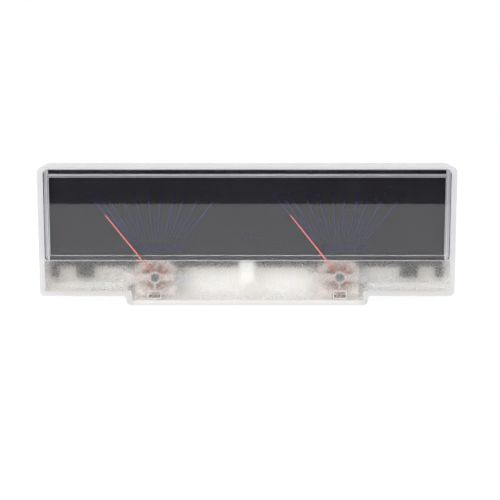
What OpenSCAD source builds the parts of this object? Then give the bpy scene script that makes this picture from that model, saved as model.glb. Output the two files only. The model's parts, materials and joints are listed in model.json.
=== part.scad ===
// Twin moving-coil level meter for mounting behind a panel.
// X runs to the right, Y runs away from the viewer, Z runs up. The origin is on the surface that
// the lower tab stands on, below the middle of the unit. Depths named y_... are counted from
// the seat face of the cover, the face that meets the back of a panel.

/* [Cover] */
// Overall width of the cover
cover_w = 134; // [128:1:160]
// Overall height of the cover with its lower tab
cover_h = 44.8; // [43:0.1:60]
// Wall of the cover's sides, of its floor and of its frosted front
cover_wall = 1.5; // [1.2:0.1:1.8]
// Wall of the cover's top
cover_top_wall = 0.8; // [0.7:0.1:1.2]
// Corner radius of the cover
cover_corner = 1.5; // [0.8:0.1:2.4]
// Gap between a movement and the side wall of the lower tab
tab_gap = 1; // [0.5:0.1:10]
// Drop of the lower tab below the wings
tab_drop = 3.1; // [2.8:0.1:4]
// Corner radius at the bottom of the tab
tab_corner = 1.9; // [0.8:0.1:2]
// Fillet where the tab meets a wing
tab_fillet = 1.1; // [0.4:0.1:1.2]

/* [Window] */
// How far the window stands in front of the seat face
window_raise = 2.2; // [1.8:0.1:4]
// Thickness of the window pane
pane_t = 1.5; // [1:0.1:1.7]
// Thickness of the raised wall at the window's sides and bottom
window_wall = 1.2; // [1:0.1:1.6]
// Thickness of the raised wall at the window's top
window_top_wall = 2.6; // [1.6:0.1:3]
// How far the hollow behind the pane widens at each side
flare = 0.2; // [0.1:0.1:0.8]
// How far the hollow behind the pane widens at the top
top_flare = 1; // [0.4:0.1:1.6]
// Step from the side of the cover to the side of the window
window_side = 2.2; // [1.8:0.1:4]
// Step from the top of the cover to the top of the window
window_top = 0.5; // [0.4:0.1:1.5]
// Height of the window's lower edge above the bottom of the tab
window_z = 15.2; // [14.8:0.1:17]
// Corner radius of the raised window
window_corner = 1.2; // [0.6:0.1:1.5]
// Width of the slot for the zero adjuster
slot_w = 3.8; // [3.5:0.1:4]
// Height of the slot for the zero adjuster
slot_h = 2.1; // [1.8:0.1:2.4]

/* [Rear case] */
// Wall of the case's rim
case_wall = 1.2; // [1:0.1:1.6]
// Thickness of the case's back
case_back_t = 1.5; // [1.2:0.1:3]
// Free space behind the rear jewel screws
back_gap = 0.4; // [0.3:0.1:2]
// Gap between the cover and the case's rim
case_gap = 0.2; // [0.1:0.05:0.3]
// Width of the locating tab in the middle of the case
key_w = 5; // [3:0.5:8]
// Height of the locating tab's upper end above the bottom of the lower tab
key_top = 13.3; // [12:0.1:14]
// Radius of the bosses and the locating pegs' feet
boss_r = 1.7; // [1.6:0.1:1.9]
// Radius of the locating pegs
peg_r = 0.85; // [0.6:0.05:0.95]

/* [Dial plate] */
// Thickness of the dial plate
plate_t = 0.5; // [0.4:0.1:1]
// Space between the pointer and the dial plate
dial_gap = 2.5; // [2:0.1:3.2]
// Overlap of the dial plate on the case's rim at the sides
plate_lap = 0.4; // [0.3:0.1:0.8]
// Gap between the dial plate's top edge and the cover
plate_top_gap = 0.3; // [0.2:0.1:0.6]
// Height of the dial plate's lower edge above the bottom of the tab
plate_z = 11.4; // [10.8:0.1:12]
// Length of the dial plate's legs
leg_l = 3.4; // [2:0.1:4]
// Width of the outer legs
outer_leg_w = 2.9; // [2:0.1:4]
// Width of the inner legs
inner_leg_w = 6.1; // [4:0.1:7]
// Gap between an outer and an inner leg
leg_gap = 5.4; // [4:0.1:7]
// Gap between the dial plate and the pieces that reach through it
notch_gap = 0.3; // [0.2:0.05:0.4]

/* [Backlight] */
// Thickness of the light diffuser
diffuser_t = 3; // [2:0.1:3.4]
// Margin between the diffuser and the case's rim
diffuser_gap = 1.2; // [1:0.1:3]
// Radius of the studs behind the diffuser
stud_r = 1.2; // [0.8:0.1:2]
// Length of the backlight board
board_l = 110; // [90:1:118]
// Height of the backlight board
board_h = 9; // [8:0.5:14]
// Thickness of the backlight board
board_t = 1; // [0.8:0.1:1.2]
// Number of LEDs
led_count = 6; // [4:2:10]
// Side of each LED
led_w = 3; // [2:0.1:3.5]
// Height of each LED above the board
led_h = 1.2; // [0.8:0.1:1.3]
// Gap between the LEDs and the diffuser
led_gap = 0.3; // [0.2:0.1:0.6]
// Distance from the end of the board to its screw
board_screw_inset = 3.5; // [3:0.1:8]
// Shank radius of the board and movement screws
screw_r = 0.8; // [0.6:0.05:0.9]
// Head radius of the board and movement screws
head_r = 1.5; // [1.3:0.05:1.6]
// Head thickness of the board and movement screws
head_t = 0.8; // [0.5:0.05:0.8]
// Length of the board screws under the head
board_screw_l = 2.2; // [1.8:0.1:2.4]

/* [Movement] */
// Distance between the two pivots
pivot_span = 60; // [58:0.5:62]
// Free space between the movements and the cover's floor
floor_gap = 0.7; // [0.5:0.1:1]
// Radius of the magnet core
core_r = 2.2; // [2:0.05:2.3]
// Length of the magnet core
core_l = 5.2; // [4.6:0.1:7]
// Gap between the core and the moving coil's former
core_gap = 0.25; // [0.2:0.05:0.35]
// Gap between the turning coil's corners and the return ring
ring_gap = 0.27; // [0.2:0.01:0.4]
// Radial thickness of the return ring
ring_t = 0.9; // [0.7:0.05:1.1]
// Plastic beside and below the return ring
frame_wall = 2.3; // [2.2:0.05:2.5]
// Plastic above the return ring
frame_top_wall = 0.55; // [0.4:0.05:0.7]
// Width of the core spacers
spacer_w = 1.2; // [0.8:0.1:1.4]
// Distance from the pivot to each ear's hole
ear_x = 8.2; // [8.1:0.1:9]
// Height of the pivot above the ears' holes
ear_drop = 1; // [0.5:0.1:1.4]
// Thickness of the ears
ear_t = 2; // [1.5:0.1:2.4]

/* [Bridges] */
// Thickness of the front bridge
bridge_t = 1; // [0.8:0.05:1.2]
// Thickness of the rear bridge
rear_bridge_t = 0.8; // [0.6:0.05:1.2]
// Width of both bridges' arms
bridge_w = 2.4; // [2:0.1:2.8]
// Radius of the front bridge's boss
bridge_boss_r = 1.85; // [1.7:0.05:1.9]
// Radius of the pillars between the bridges
pillar_r = 0.7; // [0.6:0.05:0.8]
// Radius of the pillars' riveted necks
neck_r = 0.45; // [0.35:0.05:0.5]
// Thickness of the pillars' riveted heads
rivet_t = 0.2; // [0.15:0.05:0.25]
// Radius of the front jewel screw
front_screw_r = 1.3; // [1.2:0.05:1.35]
// Radius of the rear jewel screw
rear_screw_r = 1; // [0.9:0.05:1.2]
// Gap between the cover's front and the front jewel screw
front_gap = 0.7; // [0.5:0.1:1]

/* [Moving coil and pointer] */
// Thickness of the coil former
former_t = 0.2; // [0.15:0.05:0.3]
// Thickness of the copper winding
winding_t = 0.4; // [0.3:0.05:0.5]
// Width of the coil along the core's surface
coil_w = 1.4; // [1.2:0.1:1.6]
// Space between the winding's front and the pointer, and behind the coil
coil_gap = 0.3; // [0.2:0.05:0.5]
// Radius of the arbor
arbor_r = 0.35; // [0.32:0.01:0.4]
// Radius of the arbor's points
point_r = 0.22; // [0.18:0.01:0.25]
// Length from the pivot to the pointer's tip
pointer_l = 25.7; // [22:0.1:27]
// Thickness of the pointer
pointer_t = 0.3; // [0.2:0.05:0.4]
// Width of the pointer at its root
pointer_root_w = 0.55; // [0.4:0.05:0.7]
// Width of the pointer at its tip
pointer_tip_w = 0.32; // [0.2:0.02:0.5]
// Radius of the pointer's hub
hub_r = 1; // [0.8:0.05:1.2]
// Angle from the vertical to the pointer at rest
rest_angle = 38.5; // [36:0.5:40]
// Radius of the counterweights
weight_r = 0.62; // [0.5:0.02:0.66]
// Width of the arms that carry the counterweights
arm_w = 0.6; // [0.4:0.05:0.7]

/* [Hairsprings and zero adjuster] */
// Turns of each hairspring
spring_turns = 3; // [2:1:3]
// Ribbon thickness of the hairsprings
spring_t = 0.12; // [0.1:0.01:0.15]
// Ribbon height of the hairsprings
spring_h = 0.4; // [0.3:0.05:0.5]
// Thickness of the zero adjuster
adjuster_t = 0.4; // [0.3:0.05:0.5]
// Outer radius of the adjuster's ring
adjuster_r = 2.05; // [1.9:0.05:2.2]
// Distance from the pivot to the middle of the adjuster's slot
slot_drop = 5.3; // [5:0.1:5.5]
// Width of the adjuster's lever
lever_w = 0.9; // [0.7:0.05:1.2]
// Width of the adjuster's forked end
fork_w = 1.9; // [1.5:0.1:2]
// Gap between the two prongs of the fork
fork_gap = 0.6; // [0.4:0.05:0.8]

/* [Terminals] */
// Length of the terminals behind the case
terminal_l = 4; // [3:0.5:10]
// Radius of the terminals behind the case
terminal_r = 0.6; // [0.4:0.05:0.7]
// Side of the terminals' square shanks in the case
shank_w = 1; // [0.8:0.05:1.1]
// Radius of the collars that hold the terminals against the case
collar_r = 1.1; // [0.9:0.05:1.5]
// Thickness of those collars
collar_t = 0.4; // [0.3:0.05:0.8]
// Distance between the two signal terminals of a movement
terminal_span = 6.8; // [6:0.1:7]
// Height of a movement's pivot above its signal terminals
terminal_drop = 5.2; // [4.8:0.1:5.3]
// Distance between the two lamp terminals
lamp_span = 6; // [5:0.5:8]

/* [Fits] */
// Radial clearance of running and sliding fits
run_gap = 0.05; // [0.03:0.01:0.08]
// Clearance between flat pieces that pass each other
pass_gap = 0.15; // [0.12:0.01:0.2]

/* [Hidden] */
$fn = 64;
eps = 0.01;

// The stack of each movement, from the cover's frosted front to the case's back
coil_t = former_t + winding_t;
y_screw = cover_wall + front_gap;
y_adjuster = y_screw + pass_gap;
y_bridge = y_adjuster + adjuster_t + pass_gap;
y_bridge_back = y_bridge + bridge_t;
y_screw_back = y_bridge_back + pass_gap;
y_spring = y_screw_back + pass_gap;
y_pointer = y_spring + spring_h + pass_gap;
y_pointer_back = y_pointer + pointer_t;
y_coil = y_pointer_back + coil_gap;
y_core = y_coil + coil_t + coil_gap;
y_core_back = y_core + core_l;
y_coil_back = y_core_back + coil_gap + coil_t;
y_rear_spring = y_coil_back + coil_gap;
y_rear_spring_back = y_rear_spring + spring_h;
y_rear_screw = y_rear_spring_back + pass_gap;
y_rear_bridge = y_rear_screw + pass_gap;
y_rear_bridge_back = y_rear_bridge + rear_bridge_t;
y_rivet_back = y_rear_bridge_back + rivet_t;
rear_screw_proud = 0.5;
y_rear_screw_back = y_rear_bridge_back + rear_screw_proud;

// The dial plate and what lies behind it
y_plate = y_pointer_back + dial_gap;
y_plate_back = y_plate + plate_t;
y_diffuser_back = y_plate_back + diffuser_t;
y_led = y_diffuser_back + led_gap;
y_board = y_led + led_h;
y_board_back = y_board + board_t;
least_post = 1.2;
y_case = max(y_rear_screw_back + back_gap, y_board_back + least_post);
y_back = y_case + case_back_t;
y_terminal_end = y_back + terminal_l;
seat_y = window_raise - (window_raise + y_terminal_end) / 2;

// Cover and case outlines
tab_r = min(tab_corner, tab_drop * 0.65);
fillet_r = min(tab_fillet, tab_drop - tab_r);
least_r = 0.3;
case_inset = cover_wall + case_gap;
case_inner_inset = case_inset + case_wall;
window_hw = cover_w / 2 - window_side;
window_top_z = cover_h - window_top;
window_inner_z = window_z + window_wall;

// Movement radii, from the core outwards
former_in = core_r + core_gap;
coil_out = former_in + coil_t;
ring_in = norm([coil_out, coil_w / 2]) + ring_gap;
ring_out = ring_in + ring_t;
frame_half = ring_out + frame_wall;
pivot_z = cover_wall + floor_gap + frame_half;
frame_end_gap = 0.1;
y_frame = y_core + frame_end_gap;
y_frame_back = y_core_back - frame_end_gap;
pillar_x = ring_out + frame_wall / 2;
ear_step = 0.6;
tab_w = pivot_span + 2 * (frame_half + tab_gap + cover_wall);
y_ear = y_frame + ear_step;
y_ear_back = y_ear + ear_t;
screw_clear = 0.05;

// Hairspring anchor, counterweights and adjuster
anchor_w = 0.6;
anchor_t = 0.4;
anchor_r = adjuster_r + anchor_t;
spring_out = anchor_r + anchor_t / 2;
collet_r = 0.5;
spring_in = collet_r + run_gap + spring_t / 2;
weight_in = norm([anchor_r + anchor_t, anchor_w / 2]);
weight_at = (weight_in + pillar_x - pillar_r) / 2;
weight_front_gap = 0.15;
cup_r = point_r + run_gap;
cup_depth = 0.7;

// Dial plate
plate_hw = cover_w / 2 - case_inner_inset + plate_lap;
plate_top = cover_h - cover_top_wall - plate_top_gap;
inner_leg_x = plate_hw - outer_leg_w - leg_gap - inner_leg_w;
key_z = cover_wall + tab_drop + case_gap + case_wall;
frame_top = ring_out + frame_top_wall;

// Backlight
diffuser_hw = cover_w / 2 - case_inner_inset - diffuser_gap;
diffuser_top = cover_h - case_inner_inset - diffuser_gap;
diffuser_z = window_inner_z - 0.5;
board_z = (diffuser_z + diffuser_top) / 2;
stud_inset = 4;
board_screw_x = board_l / 2 - board_screw_inset;
led_pitch = 2 * board_screw_x / (led_count + 1);
lamp_drop = 2.5;
lamp_proud = 0.3;

PIVOTS = [-pivot_span / 2, pivot_span / 2];

// ---- Helpers ----

// A plate of a flat X-Z shape from depth y0 to depth y1 behind the seat face
module plate(y0, y1) {
    translate([0, seat_y + y1, 0])
        rotate([90, 0, 0])
            linear_extrude(y1 - y0)
                children();
}

// A disc or a rod along Y about the point (x, z)
module rod(r, y0, y1, x = 0, z = 0) {
    translate([x, seat_y + y1, z])
        rotate([90, 0, 0])
            cylinder(r = r, h = y1 - y0);
}

// A rectangle between two corners
module rect(x0, x1, z0, z1) {
    translate([x0, z0])
        square([x1 - x0, z1 - z0]);
}

// A rectangle with round corners
module round_rect(x0, x1, z0, z1, r) {
    rect(x0 + r, x1 - r, z0, z1);
    rect(x0, x1, z0 + r, z1 - r);
    for (x = [x0 + r, x1 - r], z = [z0 + r, z1 - r])
        translate([x, z])
            circle(r);
}

// The front outline of the unit, drawn in by an inset: two wings and the lower tab
module outline(inset) {
    half_w = cover_w / 2 - inset;
    half_tab = tab_w / 2 - inset;
    wing_r = max(cover_corner - inset, least_r);
    foot_r = max(tab_r - inset, least_r);
    hollow_r = min(fillet_r + inset, tab_drop - foot_r);
    low = tab_drop + inset;
    round_rect(-half_w, half_w, low, cover_h - inset, wing_r);
    round_rect(-half_tab, half_tab, inset, low + 2 * wing_r + foot_r, foot_r);
    for (side = [-1, 1])
        scale([side, 1])
            difference() {
                rect(half_tab - eps, half_tab + hollow_r, low - hollow_r, low + eps);
                translate([half_tab + hollow_r, low - hollow_r])
                    circle(hollow_r);
            }
}

// Places one movement's piece on its pivot
module at_pivot(side) {
    translate([PIVOTS[side], 0, pivot_z])
        children();
}

// Turns a moving piece to the pointer's rest position
module at_rest() {
    rotate([0, -rest_angle, 0])
        children();
}

// A square about the point (x, z)
module square_at(side, x, z) {
    translate([x, z])
        square(side, center = true);
}

// A terminal: a square shank from depth y0, a collar behind the case and a round pin
module terminal(y0, x, z) {
    plate(y0, y_back + eps)
        square_at(shank_w, x, z);
    rod(collar_r, y_back, y_back + collar_t, x, z);
    rod(terminal_r, y_back + collar_t - eps, y_terminal_end, x, z);
}

// A bar along X with a flat section in depth and Z, half_l to each side
module along_x(half_l) {
    translate([-half_l, seat_y, 0])
        rotate([90, 0, 90])
            linear_extrude(2 * half_l)
                children();
}

// ---- Shared pieces ----

// The hollow behind the window pane, which widens towards the back
module window_hollow() {
    y_pane = pane_t - window_raise;
    y_open = cover_wall + eps;
    half_w = window_hw - window_wall;
    top_z = window_top_z - window_top_wall;
    intersection() {
        along_x(window_hw)
            polygon([
                [y_pane, window_inner_z],
                [y_open, window_inner_z],
                [y_open, top_z + top_flare],
                [y_pane, top_z],
            ]);
        translate([0, seat_y, 0])
            linear_extrude(cover_h)
                polygon([
                    [-half_w, y_pane],
                    [half_w, y_pane],
                    [half_w + flare, y_open],
                    [-half_w - flare, y_open],
                ]);
    }
}

module front_cover() {
    color([0.86, 0.86, 0.9, 0.5])
        difference() {
            union() {
                plate(0, y_case)
                    outline(0);
                plate(-window_raise, eps)
                    round_rect(-window_hw, window_hw, window_z, window_top_z, window_corner);
            }
            plate(cover_wall, y_case + eps)
                outline(cover_wall);
            plate(cover_wall, y_case + eps)
                rect(cover_wall - cover_w / 2, cover_w / 2 - cover_wall,
                    cover_h / 2, cover_h - cover_top_wall);
            window_hollow();
            for (x = PIVOTS)
                plate(-eps, cover_wall + eps)
                    rect(x - slot_w / 2, x + slot_w / 2, pivot_z - slot_drop - slot_h / 2,
                        pivot_z - slot_drop + slot_h / 2);
        }
}

// The peg and the boss that carry a movement's ears
module movement_posts() {
    difference() {
        union() {
            rod(boss_r, y_ear_back, y_case + eps, -ear_x, -ear_drop);
            rod(peg_r, y_ear - ear_step / 2, y_ear_back + eps, -ear_x, -ear_drop);
            rod(boss_r, y_ear_back, y_case + eps, ear_x, -ear_drop);
        }
        rod(screw_r + screw_clear, y_ear_back - eps, y_case - eps, ear_x, -ear_drop);
    }
}

// The studs that hold the diffuser and the posts that hold the board
module backlight_posts() {
    for (x = [-1, 1], z = [diffuser_z + stud_inset, diffuser_top - stud_inset])
        rod(stud_r, y_diffuser_back, y_case + eps, x * (diffuser_hw - stud_inset), z);
    for (x = [-1, 1] * board_screw_x)
        rod(head_r + 0.4, y_board_back, y_case + eps, x, board_z);
}

module rear_case() {
    color([0.9, 0.88, 0.84])
        difference() {
            union() {
                plate(y_case, y_back)
                    outline(0);
                plate(y_plate_back, y_case + eps)
                    difference() {
                        outline(case_inset);
                        outline(case_inner_inset);
                        rect(-tab_w / 2, tab_w / 2, 0, key_z + eps);
                    }
                plate(y_plate - ear_step / 2, y_case + eps)
                    rect(-key_w / 2, key_w / 2, key_z, key_top);
                for (side = [0, 1])
                    at_pivot(side)
                        movement_posts();
                backlight_posts();
            }
            for (x = [-1, 1] * board_screw_x)
                rod(screw_r + screw_clear, y_board_back - eps, y_board + board_screw_l + run_gap, x, board_z);
            plate(y_case - eps, y_back + eps) {
                for (x = [-1, 1] * lamp_span / 2)
                    square_at(shank_w + 2 * run_gap, x, board_z - lamp_drop);
                for (pivot = PIVOTS, x = [-1, 1] * terminal_span / 2)
                    square_at(shank_w + 2 * run_gap, pivot + x, pivot_z - terminal_drop);
            }
        }
}

module dial_plate() {
    color([0.12, 0.12, 0.13])
        plate(y_plate, y_plate_back)
            difference() {
                union() {
                    rect(-plate_hw, plate_hw, plate_z, plate_top);
                    for (side = [-1, 1])
                        scale([side, 1]) {
                            rect(plate_hw - outer_leg_w, plate_hw, plate_z - leg_l, plate_z + eps);
                            rect(inner_leg_x, inner_leg_x + inner_leg_w, plate_z - leg_l, plate_z + eps);
                        }
                }
                rect(-key_w / 2 - notch_gap, key_w / 2 + notch_gap, 0, key_top + notch_gap);
                for (x = PIVOTS)
                    rect(x - frame_half - notch_gap, x + frame_half + notch_gap,
                        0, pivot_z + frame_top + notch_gap);
            }
}

module light_diffuser() {
    color([0.95, 0.95, 0.92, 0.7])
        plate(y_plate_back, y_diffuser_back)
            rect(-diffuser_hw, diffuser_hw, diffuser_z, diffuser_top);
}

module backlight_board() {
    color([0.85, 0.87, 0.84])
        plate(y_board, y_board_back)
            difference() {
                rect(-board_l / 2, board_l / 2, board_z - board_h / 2, board_z + board_h / 2);
                for (x = [-1, 1] * board_screw_x)
                    translate([x, board_z])
                        circle(screw_r + run_gap);
                for (x = [-1, 1] * lamp_span / 2)
                    square_at(shank_w + 2 * run_gap, x, board_z - lamp_drop);
            }
}

module backlight_leds() {
    color([0.96, 0.95, 0.75])
        for (i = [0 : led_count - 1])
            plate(y_led, y_board)
                square_at(led_w, (i - (led_count - 1) / 2) * led_pitch, board_z);
}

module board_screws() {
    color([0.7, 0.7, 0.72])
        for (x = [-1, 1] * board_screw_x) {
            rod(head_r, y_board - head_t, y_board, x, board_z);
            rod(screw_r, y_board - eps, y_board + board_screw_l, x, board_z);
        }
}

module lamp_terminals() {
    color([0.8, 0.78, 0.7])
        for (x = [-1, 1] * lamp_span / 2)
            terminal(y_board - lamp_proud, x, board_z - lamp_drop);
}

module movement_screws() {
    color([0.6, 0.62, 0.66])
        for (side = [0, 1])
            at_pivot(side) {
                rod(head_r, y_ear - head_t, y_ear, ear_x, -ear_drop);
                rod(screw_r, y_ear - eps, y_case - back_gap, ear_x, -ear_drop);
            }
}

// ---- One movement, drawn about its pivot ----

module movement_frame() {
    color([0.93, 0.92, 0.89])
        difference() {
            union() {
                plate(y_frame, y_frame_back)
                    rect(-frame_half, frame_half, -frame_half, frame_top);
                plate(y_ear, y_ear_back)
                    rect(-ear_x, ear_x, -ear_drop - boss_r, -ear_drop + boss_r);
                for (side = [-1, 1])
                    rod(boss_r, y_ear, y_ear_back, side * ear_x, -ear_drop);
            }
            rod(ring_out + run_gap / 2, y_frame - eps, y_frame_back + eps);
            for (side = [-1, 1])
                rod(pillar_r + run_gap, y_frame - eps, y_frame_back + eps, side * pillar_x, 0);
            rod(peg_r + run_gap, y_ear - eps, y_ear_back + eps, -ear_x, -ear_drop);
            rod(screw_r + run_gap, y_ear - eps, y_ear_back + eps, ear_x, -ear_drop);
        }
}

module magnet_core() {
    color([0.45, 0.42, 0.4])
        rod(core_r, y_core, y_core_back);
}

module core_spacers() {
    color([0.9, 0.9, 0.86])
        plate(y_frame, y_frame_back)
            difference() {
                intersection() {
                    circle(ring_in);
                    rect(-spacer_w / 2, spacer_w / 2, -ring_in, ring_in);
                }
                circle(core_r);
            }
}

module return_ring() {
    color([0.55, 0.55, 0.57])
        plate(y_frame, y_frame_back)
            difference() {
                circle(ring_out);
                circle(ring_in);
            }
}

// The shape that both bridges share, with a bore for the jewel screw and two rivet holes
module bridge_shape(boss, bore) {
    difference() {
        union() {
            circle(boss);
            rect(-pillar_x, pillar_x, -bridge_w / 2, bridge_w / 2);
            for (x = [-pillar_x, pillar_x])
                translate([x, 0])
                    circle(bridge_w / 2);
        }
        circle(bore);
        for (x = [-pillar_x, pillar_x])
            translate([x, 0])
                circle(neck_r + run_gap / 2);
    }
}

module front_bridge() {
    color([0.8, 0.8, 0.8])
        plate(y_bridge, y_bridge_back)
            bridge_shape(bridge_boss_r, front_screw_r + run_gap / 2);
}

module rear_bridge() {
    color([0.8, 0.8, 0.8]) {
        plate(y_rear_bridge, y_rear_bridge_back)
            difference() {
                union() {
                    bridge_shape(bridge_boss_r, rear_screw_r + run_gap / 2);
                    rect(-anchor_w / 2, anchor_w / 2, -anchor_r - anchor_t, -bridge_w / 2);
                }
                circle(rear_screw_r + run_gap / 2);
            }
        plate(y_rear_spring_back, y_rear_bridge + eps)
            rect(-anchor_w / 2, anchor_w / 2, -anchor_r - anchor_t, -anchor_r);
    }
}

module bridge_pillars() {
    color([0.78, 0.78, 0.79])
        for (x = [-pillar_x, pillar_x]) {
            rod(pillar_r, y_bridge_back, y_rear_bridge, x);
            rod(neck_r, y_bridge - eps, y_rear_bridge_back + eps, x);
            rod(pillar_r, y_bridge - rivet_t, y_bridge, x);
            rod(pillar_r, y_rear_bridge_back, y_rivet_back, x);
        }
}

module front_jewel_screw() {
    color([0.5, 0.52, 0.53])
        difference() {
            rod(front_screw_r, y_screw, y_screw_back);
            plate(y_screw - eps, y_screw + adjuster_t)
                rect(-front_screw_r, front_screw_r, -fork_gap / 4, fork_gap / 4);
            rod(cup_r, y_screw_back - cup_depth, y_screw_back + eps);
        }
}

module rear_jewel_screw() {
    color([0.5, 0.52, 0.53])
        difference() {
            rod(rear_screw_r, y_rear_screw, y_rear_screw_back);
            rod(cup_r, y_rear_screw - eps, y_rear_screw + cup_depth);
        }
}

// A closed frame round the core, seen from above as a rectangle of X and Y
module coil_band(inner, thickness) {
    outer = inner + thickness;
    grow = inner - former_in;
    at_rest()
        translate([0, 0, -coil_w / 2])
            linear_extrude(coil_w)
                translate([0, seat_y])
                    difference() {
                        translate([-outer, y_core - coil_gap - grow - thickness])
                            square([2 * outer, core_l + 2 * (coil_gap + grow + thickness)]);
                        translate([-inner, y_core - coil_gap - grow])
                            square([2 * inner, core_l + 2 * (coil_gap + grow)]);
                    }
}

module coil_former() {
    color([0.75, 0.75, 0.78])
        coil_band(former_in, former_t);
}

module coil_winding() {
    color([0.78, 0.42, 0.28])
        coil_band(former_in + former_t, winding_t);
}

// Two half shafts on the coil, each with a collet for its hairspring and a point for its screw
module arbor() {
    color([0.7, 0.7, 0.72]) {
        rod(arbor_r, y_spring, y_coil);
        rod(collet_r, y_spring, y_spring + spring_h);
        rod(point_r, y_screw_back - cup_depth + run_gap, y_spring + eps);
        rod(arbor_r, y_coil_back, y_rear_spring + eps);
        rod(collet_r, y_rear_spring, y_rear_spring_back);
        rod(point_r, y_rear_spring_back - eps, y_rear_screw + cup_depth - run_gap);
    }
}

module pointer() {
    color([0.95, 0.42, 0.3])
        at_rest()
            plate(y_pointer, y_pointer_back)
                difference() {
                    union() {
                        circle(hub_r);
                        polygon([
                            [-pointer_root_w / 2, 0],
                            [pointer_root_w / 2, 0],
                            [pointer_tip_w / 2, pointer_l],
                            [-pointer_tip_w / 2, pointer_l],
                        ]);
                        rect(-arm_w / 2, arm_w / 2, weight_r - weight_at, 0);
                        rect(weight_r - weight_at, weight_at - weight_r, -arm_w / 2, arm_w / 2);
                    }
                    circle(arbor_r);
                }
}

// Three beads on the ends of the pointer's arms
module counterweights() {
    color([0.76, 0.74, 0.68])
        at_rest()
            difference() {
                for (a = [0, 90, 180])
                    rotate([0, a, 0])
                        rod(weight_r, y_bridge_back + weight_front_gap, y_pointer_back + weight_front_gap,
                            weight_at);
                plate(y_pointer, y_pointer_back) {
                    rect(-arm_w / 2, arm_w / 2, weight_r - weight_at, 0);
                    rect(weight_r - weight_at, weight_at - weight_r, -arm_w / 2, arm_w / 2);
                }
            }
}

// A flat spiral ribbon, wound from the collet out to the anchor below the pivot
module spiral() {
    steps = spring_turns * 32;
    start = -90 - 360 * spring_turns;
    growth = spring_out - spring_in;
    function edge(i, offset_r) = let (r = spring_in + growth * i / steps + offset_r,
        a = start + 360 * spring_turns * i / steps) [r * cos(a), r * sin(a)];
    polygon(concat(
        [for (i = [0 : steps]) edge(i, spring_t / 2)],
        [for (i = [steps : -1 : 0]) edge(i, -spring_t / 2)]));
}

module front_hairspring() {
    color([0.85, 0.7, 0.4])
        plate(y_spring, y_spring + spring_h)
            spiral();
}

module rear_hairspring() {
    color([0.85, 0.7, 0.4])
        plate(y_rear_spring, y_rear_spring_back)
            spiral();
}

module zero_adjuster() {
    fork_top = slot_h / 2 - slot_drop;
    fork_low = -slot_h / 2 - slot_drop;
    color([0.8, 0.8, 0.8]) {
        plate(y_adjuster, y_adjuster + adjuster_t)
            difference() {
                union() {
                    circle(adjuster_r);
                    rect(-lever_w / 2, lever_w / 2, fork_top, 0);
                    rect(-fork_w / 2, fork_w / 2, fork_low, fork_top);
                }
                circle(front_screw_r + run_gap);
                rect(-fork_gap / 2, fork_gap / 2, fork_low - eps, fork_low + slot_h * 0.6);
            }
        plate(y_adjuster + adjuster_t - eps, y_spring)
            rect(-anchor_w / 2, anchor_w / 2, -anchor_r - anchor_t, -anchor_r);
    }
}

module signal_terminals() {
    color([0.8, 0.78, 0.7])
        for (x = [-1, 1] * terminal_span / 2)
            terminal(y_frame_back, x, -terminal_drop);
}

// ---- The assembly ----

front_cover();
rear_case();
dial_plate();
light_diffuser();
backlight_board();
backlight_leds();
board_screws();
lamp_terminals();
movement_screws();
at_pivot(0) movement_frame();  // left_movement_frame
at_pivot(0) magnet_core();  // left_magnet_core
at_pivot(0) core_spacers();  // left_core_spacers
at_pivot(0) return_ring();  // left_return_ring
at_pivot(0) front_bridge();  // left_front_bridge
at_pivot(0) bridge_pillars();  // left_bridge_pillars
at_pivot(0) front_jewel_screw();  // left_front_jewel_screw
at_pivot(0) rear_bridge();  // left_rear_bridge
at_pivot(0) rear_jewel_screw();  // left_rear_jewel_screw
at_pivot(0) coil_former();  // left_coil_former
at_pivot(0) coil_winding();  // left_coil_winding
at_pivot(0) arbor();  // left_arbor
at_pivot(0) pointer();  // left_pointer
at_pivot(0) counterweights();  // left_counterweights
at_pivot(0) front_hairspring();  // left_front_hairspring
at_pivot(0) rear_hairspring();  // left_rear_hairspring
at_pivot(0) zero_adjuster();  // left_zero_adjuster
at_pivot(0) signal_terminals();  // left_signal_terminals
at_pivot(1) movement_frame();  // right_movement_frame
at_pivot(1) magnet_core();  // right_magnet_core
at_pivot(1) core_spacers();  // right_core_spacers
at_pivot(1) return_ring();  // right_return_ring
at_pivot(1) front_bridge();  // right_front_bridge
at_pivot(1) bridge_pillars();  // right_bridge_pillars
at_pivot(1) front_jewel_screw();  // right_front_jewel_screw
at_pivot(1) rear_bridge();  // right_rear_bridge
at_pivot(1) rear_jewel_screw();  // right_rear_jewel_screw
at_pivot(1) coil_former();  // right_coil_former
at_pivot(1) coil_winding();  // right_coil_winding
at_pivot(1) arbor();  // right_arbor
at_pivot(1) pointer();  // right_pointer
at_pivot(1) counterweights();  // right_counterweights
at_pivot(1) front_hairspring();  // right_front_hairspring
at_pivot(1) rear_hairspring();  // right_rear_hairspring
at_pivot(1) zero_adjuster();  // right_zero_adjuster
at_pivot(1) signal_terminals();  // right_signal_terminals
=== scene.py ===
"""Twin level meter with two moving-coil movements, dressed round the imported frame."""

import json
import logging
import math
from collections.abc import Callable
from dataclasses import dataclass, field
from enum import Enum, IntEnum

import bmesh
import bpy
from mathutils import Matrix, Vector


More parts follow.
